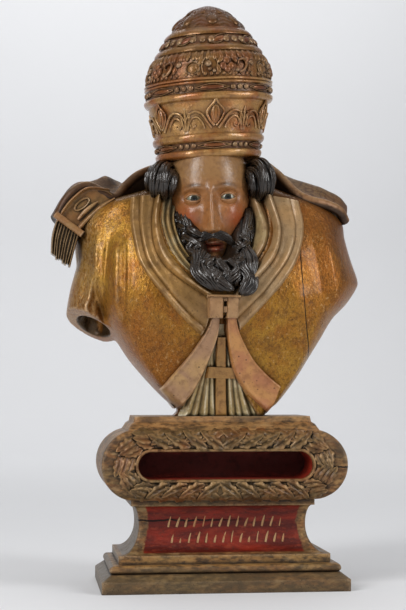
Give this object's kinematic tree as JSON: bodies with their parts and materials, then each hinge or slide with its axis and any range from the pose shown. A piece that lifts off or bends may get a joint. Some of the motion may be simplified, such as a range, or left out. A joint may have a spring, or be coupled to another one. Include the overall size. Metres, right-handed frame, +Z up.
{
  "type": "reliquary bust",
  "caption": "Carved, painted and gilded wooden bust of a bearded cleric in a tiered crown and cope, on a moulded plinth with a leaf-framed relic slot",
  "frame": {"origin": "centre of the plinth's underside", "axes": "+Z up, -Y towards the front with the relic slot, +X towards the right of a viewer in front"},
  "size_m": [0.2867, 0.1785, 0.5398],
  "materials": {
    "plinth_wood": "worn gilding over gesso on carved wood, with a crimson painted panel",
    "bust_wood": "glossy worn gilding and paint on carved wood"
  },
  "bodies": {
    "root": {"plinth": "plinth_wood", "bust": "bust_wood"}
  },
  "joints": []
}
